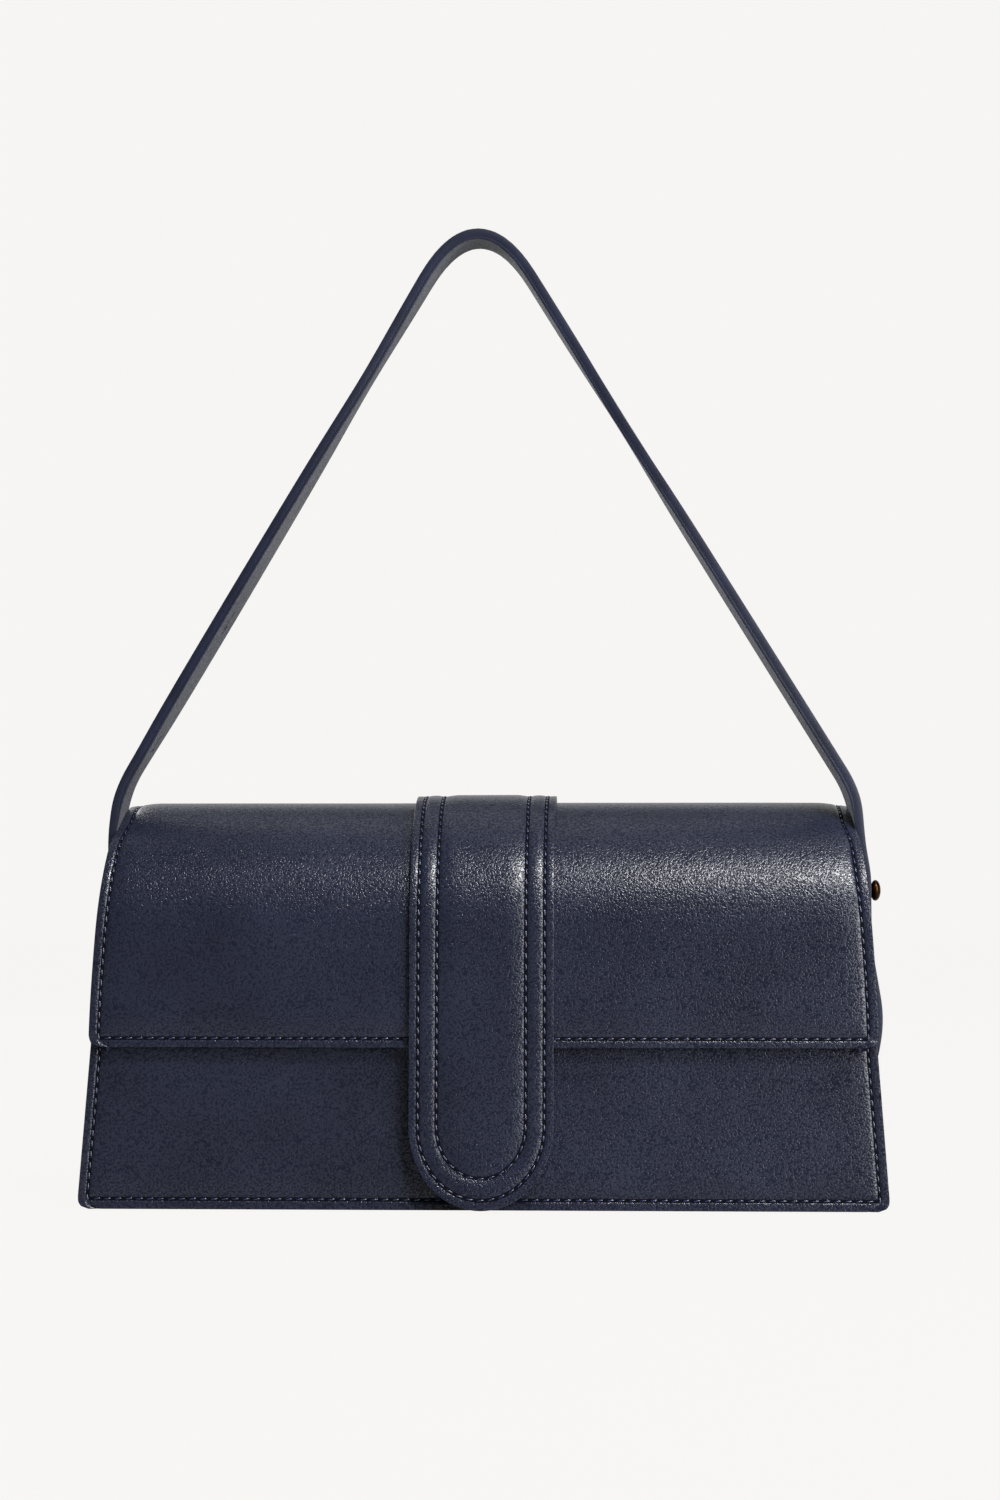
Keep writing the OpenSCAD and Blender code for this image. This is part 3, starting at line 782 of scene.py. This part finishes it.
def make_flap():
    skin = flap_place(0, 0, True)
    cols = side_columns(4.0)
    rows = close_rows(0, CROWN_CUT, 2.0, edge_low=True, cut_high=True)
    crown = leather_sheet("flap_crown_leather", cols, rows, skin, CROWN_LEATHER_T, True, LEATHER, edge=0.45)
    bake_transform(crown)
    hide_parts("flap_hem", "flap_crown")
    rows = close_rows(CROWN_CUT, FLAP_END, 2.5, edge_high=True, cut_low=True)
    front = leather_sheet("flap_front_leather", cols, rows, skin, FLAP_LEATHER_T, True, LEATHER, edge=0.6)
    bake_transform(front)
    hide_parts("flap_front", "flap_stiffener")

    surface = flap_surface(skin)
    crown_run = flap_side_run(-1, HEM_STITCH, CROWN_CUT)[::-1] + flap_side_run(1, HEM_STITCH, CROWN_CUT)
    crown_stitches = seam("flap_crown_stitches", surface, crown_run)
    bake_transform(crown_stitches)
    low = FLAP_END - FLAP_LOW_STITCH
    front_run = flap_side_run(-1, CROWN_CUT, low) + flap_side_run(1, CROWN_CUT, low)[::-1]
    front_stitches = seam("flap_front_stitches", surface, front_run)
    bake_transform(front_stitches)

    inner = flap_place(FLAP_LEATHER_T, 1.2, False)
    rows = close_rows(CROWN_CUT, FLAP_END - 1.2, 3.0)
    lining = leather_sheet("flap_lining_cloth", cols, rows, inner, FLAP_LINING_T, True, CLOTH, edge=0)
    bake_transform(lining)
    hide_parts("flap_lining")
    inner = flap_place(CROWN_LEATHER_T, 2.2, False)
    rows = close_rows(HEM_RUN + BACK_RUN, CROWN_CUT, 3.0)
    lining = leather_sheet("crown_lining_cloth", cols, rows, inner, CROWN_LINING_T, True, CLOTH, edge=0)
    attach(lining, "flap")
    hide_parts("crown_lining")


# Centre band and tab

BAND_HALF_W = BAND_W / 2
BAND_SHEET_T = BAND_T - 0.1
BACKING_T = 1.3
BAND_OUTER_STITCH = 3.1
BAND_INNER_STITCH = 9.5
BAND_DEEP = 0.32
ROLL_AT = 6.3
ROLL_W = 2.4
TAB_FLARE = 2.6
TAB_FLARE_Z = 24
BAND_STEPS = [0, 0.9, 1.5, 2.0, 2.45, 2.8, 3.1, 3.4, 3.8, 4.4, 5.2, 6.3, 7.4, 8.2, 8.7, 9.1, 9.5, 9.9,
              10.3, 11, 12.2, 14]
TAB_END = drop_s(TAB_TIP)
ROUND_S = drop_s(TAB_TIP + TAB_ROUND)
ROUND_RUN = TAB_END - ROUND_S


def band_relief(d):
    """The band's height over its leather by the distance from its edge: a roll between its two rows."""
    roll = math.exp(-((d - ROLL_AT) / ROLL_W) ** 2) * BAND_DEEP
    centre = swell(d, BAND_INNER_STITCH, 0.5, 5.0)
    dips = groove(d, BAND_OUTER_STITCH, BAND_DEEP) + groove(d, BAND_INNER_STITCH, BAND_DEEP)
    return dips + roll + centre


def band_xs(u, s):
    """The width share u (-1 to 1) and length s as a place on the band, its round end fanned out."""
    if s <= ROUND_S:
        return BAND_HALF_W * u, s, BAND_HALF_W * (1 - abs(u))
    w = (s - ROUND_S) / ROUND_RUN
    x = u * math.sqrt(1 - w * w / 2)
    v = w * math.sqrt(1 - u * u / 2)
    return BAND_HALF_W * x, ROUND_S + ROUND_RUN * v, BAND_HALF_W * (1 - math.hypot(x, v))


def tab_flare(z):
    """How far the tab's free end stands off the front panel."""
    return TAB_FLARE * smooth_step((TAB_FLARE_Z - z) / TAB_FLARE_Z)


def band_place(out, relief, inset=0.0):
    """A layer of the band as a function of the width share and the length from the hem."""
    shrink = (BAND_HALF_W - inset) / BAND_HALF_W

    def place(u, s):
        x, s2, d = band_xs(u * shrink, ROUND_S + (s - ROUND_S) * shrink if s > ROUND_S else s)
        (y, z), n = flap_at(s2)
        lift = out + (band_relief(d) + ripple(x, y, z, 40, 0.12) if relief else 0) + tab_flare(z)
        return Vector((x, y + n[0] * lift, z + n[1] * lift))
    return place


def band_columns():
    left = [-1 + d / BAND_HALF_W for d in BAND_STEPS + [16.5, 19.5, 22]]
    return left + [0.0] + [-u for u in reversed(left)]


def end_rows(low):
    """Lengths down to the tab's tip, close together in its round end."""
    end = [TAB_END - d * ROUND_RUN / BAND_HALF_W for d in reversed(BAND_STEPS)]
    gap = [ROUND_S + (end[0] - ROUND_S) * k / 5 for k in range(1, 5)]
    return spread(low, ROUND_S, 2.5, False, False) + gap + end


def make_band():
    skin = band_place(BAND_T, True)
    cols = band_columns()
    rows = close_rows(0, CROWN_CUT, 1.8, edge_low=True, cut_high=True)
    crown = leather_sheet("band_crown_leather", cols, rows, skin, BAND_SHEET_T, True, LEATHER, edge=0.6)
    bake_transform(crown)
    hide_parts("band_hem", "band_crown")
    rows = close_rows(CROWN_CUT, TAB_CUT, 2.2, cut_low=True, cut_high=True)
    front = leather_sheet("band_front_leather", cols, rows, skin, BAND_SHEET_T, True, LEATHER, edge=0.6)
    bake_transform(front)
    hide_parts("band_front", "band_padding")
    rows = end_rows(TAB_CUT)
    rows[1:1] = [TAB_CUT + d for d in CUT_STEPS]
    tab = leather_sheet("tab_leather", cols, rows, skin, BAND_SHEET_T, True, LEATHER, edge=0.6)
    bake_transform(tab)
    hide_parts("tab_face", "tab_padding")
    back = band_place(0, False)
    rows = end_rows(drop_s(FLAP_LOW - 0.6))
    backing = leather_sheet("tab_backing_leather", cols, rows, back, BACKING_T, True, FACING, edge=0.4)
    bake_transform(backing)
    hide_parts("tab_backing")
    for inset, label in ((BAND_OUTER_STITCH, "outer"), (BAND_INNER_STITCH, "inner")):
        band_stitches(inset, label)


def band_stitches(inset, label):
    """One stitch row of the band: down both sides of it and around the tab's end."""
    hw = BAND_HALF_W - inset
    run = ROUND_RUN * hw / BAND_HALF_W

    def surface(x, s):
        (y, z), n = flap_at(s)
        lift = BAND_T + band_relief(inset) + ripple(x, y, z, 40, 0.12) + tab_flare(z)
        return Vector((x, y + n[0] * lift, z + n[1] * lift)), Vector((0, n[0], n[1]))

    for side, where in ((-1, "left"), (1, "right")):
        crown_run = [(side * hw, s) for s in (HEM_STITCH, CROWN_CUT)]
        row = seam(f"band_crown_{label}_{where}_stitches", surface, crown_run)
        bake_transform(row)
        front_run = [(side * hw, s) for s in (CROWN_CUT, TAB_CUT)]
        row = seam(f"band_front_{label}_{where}_stitches", surface, front_run)
        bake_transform(row)
    turns = [math.pi * k / 40 for k in range(41)]
    arc = [(-hw * math.cos(a), ROUND_S + run * math.sin(a)) for a in turns]
    row = seam(f"tab_{label}_stitches", surface, [(-hw, TAB_CUT)] + arc + [(hw, TAB_CUT)])
    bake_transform(row)


# Strap

APEX_X = -3.0
RISE_IN = TOP_W / 2 - 0.9
FLARE_Z = 128.5
GUSSET_X = half_w(STUD_Z) - GUSSET_RECESS
LEFT_IN = GUSSET_X + 0.9
RIGHT_IN = GUSSET_X + 3.2
FLARE_IN = half_w(FLARE_Z) - 0.45
TAIL_LEFT = 16.0
TAIL_RIGHT = 60.0
BELLY = 4.6
STRAP_STEP = 1.5
STRAP_HALF_COLS = [0, 0.9, 1.5, 2.0, 2.4, 2.8, 3.3, 4.2, 6.0]
STRAP_END_R = 6.5
STRAP_FULL = 0.9
FULL_FROM = 122
FULL_RUN = 22
STRAP_LINING_T = 1.3
SLOT_PITCH = 51.0
TAIL_SLOT_PITCH = 36.0
SLOT_R = 2.0
SLIT_END = 7.0
SLIT_HALF_W = 0.6

# Each strand's turn: its low part's degrees, height and run, then its high part's degrees and height
LEFT_TURN = (2.6, 200, 50, -4.5, 290)
RIGHT_TURN = (2.0, 165, 85, -4.2, 272)


def bezier_corner(a, p, b, r, n):
    """The corner p between a and b, rounded over the length r each way."""
    r0 = min(r, (a - p).length * 0.48, (b - p).length * 0.48)
    q0 = p + (a - p).normalized() * r0
    q1 = p + (b - p).normalized() * r0
    shares = [k / n for k in range(n + 1)]
    return [q0 * (1 - t) ** 2 + p * (2 * t * (1 - t)) + q1 * t * t for t in shares]


def strap_line():
    """The strap's inner face in X and Z, from the left tail over the top to the right tail.

    Each corner has its rounding's length as its third value.
    """
    pts = [
        (-LEFT_IN - TAIL_LEFT * SIDE_SLOPE, STUD_Z - TAIL_LEFT, 0),
        (-LEFT_IN, STUD_Z, 4),
        (-FLARE_IN, FLARE_Z, 5),
        (-RISE_IN + 1.5, BAG_H + 4.0, 9),
        (-2.6, STRAP_TOP + 10.3, 33),
        (RISE_IN - 1.2, BAG_H + 3.0, 9),
        (FLARE_IN, FLARE_Z, 5),
        (RIGHT_IN, STUD_Z + 5, 4),
        (RIGHT_IN, STUD_Z - 6, 6),
        (RIGHT_IN + BELLY * 0.05, STUD_Z - TAIL_RIGHT * 0.33, 10),
        (RIGHT_IN + BELLY, STUD_Z - TAIL_RIGHT * 0.75, 10),
        (RIGHT_IN + BELLY * 0.45, STUD_Z - TAIL_RIGHT, 0)]
    at = [Vector(p[:2]) for p in pts]
    line = [at[0]]
    for i in range(1, len(at) - 1):
        r = pts[i][2]
        line += bezier_corner(at[i - 1], at[i], at[i + 1], r, 14 if r > 20 else 7)
    return resample(line + [at[-1]], STRAP_STEP)


def resample(line, step):
    """The line with its points a steady step apart."""
    pts = np.array([list(p) for p in line])
    run = run_along(pts)
    keep = np.concatenate([[True], np.diff(run) > 1e-6])
    pts, run = pts[keep], run[keep]
    lengths = np.linspace(0, run[-1], round(run[-1] / step) + 1)
    return [Vector([float(np.interp(s, run, pts[:, c])) for c in (0, 1)]) for s in lengths]


def strap_twist(x, z):
    """The strap's turn about its length in degrees: its inner face shows low down, less so higher up."""
    left = x < APEX_X
    low, at, run, high, high_at = LEFT_TURN if left else RIGHT_TURN
    turn = low * math.exp(-((z - at) / run) ** 2) * smooth_step((z - 121) / 21)
    if left:
        turn -= 2.6 * math.exp(-((z - 152) / 14) ** 2)
    return turn + high * math.exp(-((z - high_at) / 22) ** 2)


def strap_frames():
    """The strap's inner face by steps: the point, the way across and the outward direction."""
    line = strap_line()
    out = []
    for i, p in enumerate(line):
        a = line[max(i - 1, 0)]
        b = line[min(i + 1, len(line) - 1)]
        t = (b - a).normalized()
        tangent = Vector((t.x, 0, t.y))
        outward = Vector((-t.y, 0, t.x))
        turn = Matrix.Rotation(math.radians(-strap_twist(p.x, p.y)), 3, tangent)
        out.append((Vector((p.x, 0, p.y)), turn @ Vector((0, 1, 0)), turn @ outward))
    return out


def strap_layer_sheet(name, depth, thick, inset, materials, relief, edge):
    """A long strip of the strap, depth millimetres outside its inner face, thick towards that face."""
    frames = strap_frames()
    hw = STRAP_W / 2 - inset
    length = (len(frames) - 1) * STRAP_STEP
    left = [-hw + d for d in STRAP_HALF_COLS]
    cols = left + [0.0] + [-v for v in reversed(left)]

    def place(v, i):
        p, across, out = frames[i]
        from_end = min(i * STRAP_STEP, length - i * STRAP_STEP)
        v *= round_corner(hw, max(from_end, 0.4), STRAP_END_R) / hw
        lift = depth
        if relief:
            d = hw - abs(v)
            lift += groove(d, 2.2, 0.22, 0.5) + swell(d, 2.5, 0.25, 3.0)
            lift += STRAP_FULL * smooth_step((p.z - FULL_FROM) / FULL_RUN)
        return p + across * v + out * lift
    return leather_sheet(name, cols, list(range(len(frames))), place, thick, True, materials, edge=edge)


def slot_cutter(p, along, across, out):
    """A round cutter whose side towards along is drawn out to a narrow slit."""
    pick()
    bpy.ops.mesh.primitive_cylinder_add(vertices=24, radius=SLOT_R, depth=12)
    obj = bpy.context.object
    for v in obj.data.vertices:
        turn = math.atan2(v.co.y, v.co.x) + math.radians(7.5)
        x, y = SLOT_R * math.cos(turn), SLOT_R * math.sin(turn)
        if abs(math.degrees(math.atan2(y, x))) < 12:
            x, y = SLIT_END, math.copysign(SLIT_HALF_W, y)
        v.co = (p + along * x + across * y + out * v.co.z) * 0.001
    edit_whole(bpy.ops.mesh.normals_make_consistent, inside=False)
    return obj


def strap_holes():
    """Cutters for the strap's key-shaped stud holes: a round hole for the neck with a slit on one side."""
    frames = strap_frames()
    run = run_along([list(p) for p, _, _ in frames])
    left = TAIL_LEFT
    right = run[-1] - (TAIL_RIGHT + 0.6)
    slots = [(left, 1), (left + SLOT_PITCH, 1), (left + 2 * SLOT_PITCH, 1), (right, -1),
             (right + TAIL_SLOT_PITCH, -1)]
    cutters = []
    for at, way in slots:
        i = next(k for k, r in enumerate(run) if r > at) - 1
        share = (at - run[i]) / (run[i + 1] - run[i])
        p, across, out = (a.lerp(b, share) for a, b in zip(frames[i], frames[i + 1]))
        along = (frames[i + 1][0] - frames[i][0]).normalized() * way
        cutters.append(slot_cutter(p, along, across, out))
    pick(*cutters)
    bpy.ops.object.join()
    return bpy.context.object


def make_strap():
    outer = strap_layer_sheet("strap_outer_leather", STRAP_T, STRAP_T - 0.15, 0, (navy_leather, shaded_strap_paint),
                              True, 0.4)
    soft(outer, "strap", "leather", "strap_leather", "strap_core")
    inner = strap_layer_sheet("strap_backing_leather", STRAP_LINING_T, STRAP_LINING_T, 0.05,
                              (grey_leather, shaded_strap_paint), False, 0.3)
    soft(inner, "strap", "strap_backing", "strap_lining")
    holes = strap_holes()
    for sheet in (outer, inner):
        finish_modifier(sheet, "BOOLEAN", object=holes, operation="DIFFERENCE", solver="EXACT")
    bpy.data.objects.remove(holes)


# Studs

STUD_NECK_R = 1.9
STUD_FLANGE_R = 4.6
STUD_HEAD_R = 3.7
HEAD_ROUND = 1.85


def make_stud(side, name, flange_t):
    """A collar stud turned on the lathe: flange, neck and domed head."""
    x0 = GUSSET_X
    top = x0 + flange_t + STRAP_T + 0.6
    profile = [(x0 + 0.42, STUD_NECK_R), (x0 + 0.42, STUD_FLANGE_R), (x0 + flange_t - 0.1, STUD_FLANGE_R),
               (x0 + flange_t, STUD_FLANGE_R - 0.2), (x0 + flange_t, STUD_NECK_R), (top, STUD_NECK_R),
               (top + 0.1, STUD_HEAD_R - 0.5)]
    for k in range(9):
        a = math.radians(-50 + 140 * k / 8)
        profile.append((top + 1.75 + HEAD_ROUND * math.sin(a), max(STUD_HEAD_R * math.cos(a), 0.0)))
    mesh = bpy.data.meshes.new(name)
    mesh.from_pydata([(side * x * 0.001, 0, (STUD_Z + r) * 0.001) for x, r in profile],
                     [(i, i + 1) for i in range(len(profile) - 1)], [])
    obj = bpy.data.objects.new(name, mesh)
    bpy.context.scene.collection.objects.link(obj)
    pick(obj)
    edit_whole(bpy.ops.mesh.spin, steps=40, angle=math.tau, center=mm(0, 0, STUD_Z), axis=(1, 0, 0))
    edit_whole(bpy.ops.mesh.remove_doubles, threshold=1e-6)
    edit_whole(bpy.ops.mesh.fill_holes, sides=0)
    edit_whole(bpy.ops.mesh.normals_make_consistent, inside=False)
    bpy.ops.object.shade_smooth_by_angle(angle=math.radians(40))
    dress(obj, name, shade_darkened_brass)
    soft(obj, "body", "brass", f"{name.split('_')[0]}_stud")


# Carried-over frame nodes keep their shape and get their finish

def finish_nodes():
    finishes = {
        "snap_socket": shade_darkened_brass, "snap_plug": shade_darkened_brass,
        "socket_washer": nickel, "plug_washer": nickel,
        "left_stud_screw": shade_darkened_brass, "right_stud_screw": shade_darkened_brass,
        "front_stiffener": board, "back_stiffener": board, "base_board": board}
    for name, finish in finishes.items():
        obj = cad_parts[name]
        obj.data.materials.clear()
        obj.data.materials.append(finish)


# Stage, light and camera

BACKDROP = "#f6f5f3"
FLOOR_SHARE = 0.975
FLOOR_GLOW = 1.02
ROOM_LIGHT = 0.09


def make_floor():
    """A floor that the camera sees almost as bright as the backdrop, and that light meets as matt grey."""
    pick()
    bpy.ops.mesh.primitive_plane_add(size=12, location=(0, 0, -0.0004))
    floor = bpy.context.object
    floor.name = "floor"
    mat, tree, out = new_material("pale_matt_floor")
    path = node(tree, "ShaderNodeLightPath")
    share = node(tree, "ShaderNodeMath", {"operation": "MULTIPLY"}, i0=path.outputs["Is Camera Ray"],
                 i1=FLOOR_SHARE)
    lit = node(tree, "ShaderNodeBsdfDiffuse", None, Color=hex_rgb("#a8a7a6"))
    glow = node(tree, "ShaderNodeEmission", None, Color=hex_rgb(BACKDROP), Strength=FLOOR_GLOW)
    mix = node(tree, "ShaderNodeMixShader", None, i0=share.outputs[0], i1=lit.outputs[0], i2=glow.outputs[0])
    tree.links.new(mix.outputs[0], out.inputs[0])
    floor.data.materials.append(mat)


def make_world():
    """A plain backdrop for the camera and a dim cool room for the light."""
    world = bpy.data.worlds.new("pale_studio")
    bpy.context.scene.world = world
    world.use_nodes = True
    tree = world.node_tree
    tree.nodes.clear()
    path = node(tree, "ShaderNodeLightPath")
    seen = node(tree, "ShaderNodeMath", {"operation": "MAXIMUM"}, i0=path.outputs["Is Camera Ray"],
                i1=path.outputs["Is Transmission Ray"])
    room = node(tree, "ShaderNodeBackground", None, Color=hex_rgb("#f2f4f8"), Strength=ROOM_LIGHT)
    view = node(tree, "ShaderNodeBackground", None, Color=hex_rgb(BACKDROP), Strength=1.0)
    mix = node(tree, "ShaderNodeMixShader", None, i0=seen.outputs[0], i1=room.outputs[0], i2=view.outputs[0])
    node(tree, "ShaderNodeOutputWorld", None, Surface=mix.outputs[0])


def area_light(name, place, target, size, power):
    """A rectangular softbox that faces its target. The camera doesn't see it."""
    data = bpy.data.lights.new(name, "AREA")
    data.shape = "RECTANGLE"
    data.size, data.size_y = size
    data.energy = power
    obj = bpy.data.objects.new(name, data)
    bpy.context.scene.collection.objects.link(obj)
    obj.location = place
    obj.rotation_euler = (Vector(target) - Vector(place)).to_track_quat("-Z", "Y").to_euler()
    obj.visible_camera = False


# The photograph's height in px, its scale at the bag's front and the rows and columns that place its view
PHOTO_H = 1500
PX_PER_M = 2910.0
FRONT_DISTANCE = 1.1
YAW = math.radians(2.5)
CAMERA_Z = 0.111
HORIZON_ROW = 887.5
CENTRE_SHIFT = 14.5


def make_camera():
    data = bpy.data.cameras.new("camera")
    data.sensor_fit = "VERTICAL"
    data.sensor_height = 36.0
    data.lens = PX_PER_M * FRONT_DISTANCE * data.sensor_height / PHOTO_H
    data.shift_y = (HORIZON_ROW - PHOTO_H / 2) / PHOTO_H
    data.shift_x = CENTRE_SHIFT / PHOTO_H
    camera = bpy.data.objects.new("camera", data)
    bpy.context.scene.collection.objects.link(camera)
    distance = FRONT_DISTANCE + BASE_D / 2 * 0.001
    camera.location = (distance * math.sin(YAW), -distance * math.cos(YAW), CAMERA_Z)
    camera.rotation_euler = (math.pi / 2, 0, YAW)
    data.clip_end = 50
    bpy.context.scene.camera = camera


def make_lights():
    area_light("key_softbox", (0.42, -0.72, 1.25), (0.05, 0, 0.12), (0.44, 0.26), 17)
    area_light("left_fill", (-1.1, -1.0, 0.5), (0, 0, 0.12), (1.2, 1.2), 0.2)
    area_light("back_glow", (0, 1.7, 0.6), (0, 0, 0.14), (3.0, 1.1), 6)
    area_light("back_fill", (-0.9, 1.1, 0.7), (0, 0, 0.1), (0.9, 0.9), 6)
    area_light("left_side_fill", (-1.2, 0.2, 0.3), (0.1, 0, 0.22), (0.8, 0.5), 10)
    area_light("right_fill", (1.0, -0.8, 0.45), (0.1, 0, 0.1), (1.1, 1.0), 24)
    area_light("overhead", (0.1, 0.35, 1.5), (0, 0, 0.1), (1.6, 1.0), 3)


make_camera()
make_floor()
make_world()
make_lights()
make_body()
make_gusset(-1, "left")
make_gusset(1, "right")
make_base()
make_pocket()
make_flap()
make_band()
make_strap()
make_stud(-1, "left_collar_stud", 0.6)
make_stud(1, "right_collar_stud", 2.9)
finish_nodes()

bpy.context.scene.view_settings.view_transform = "Standard"
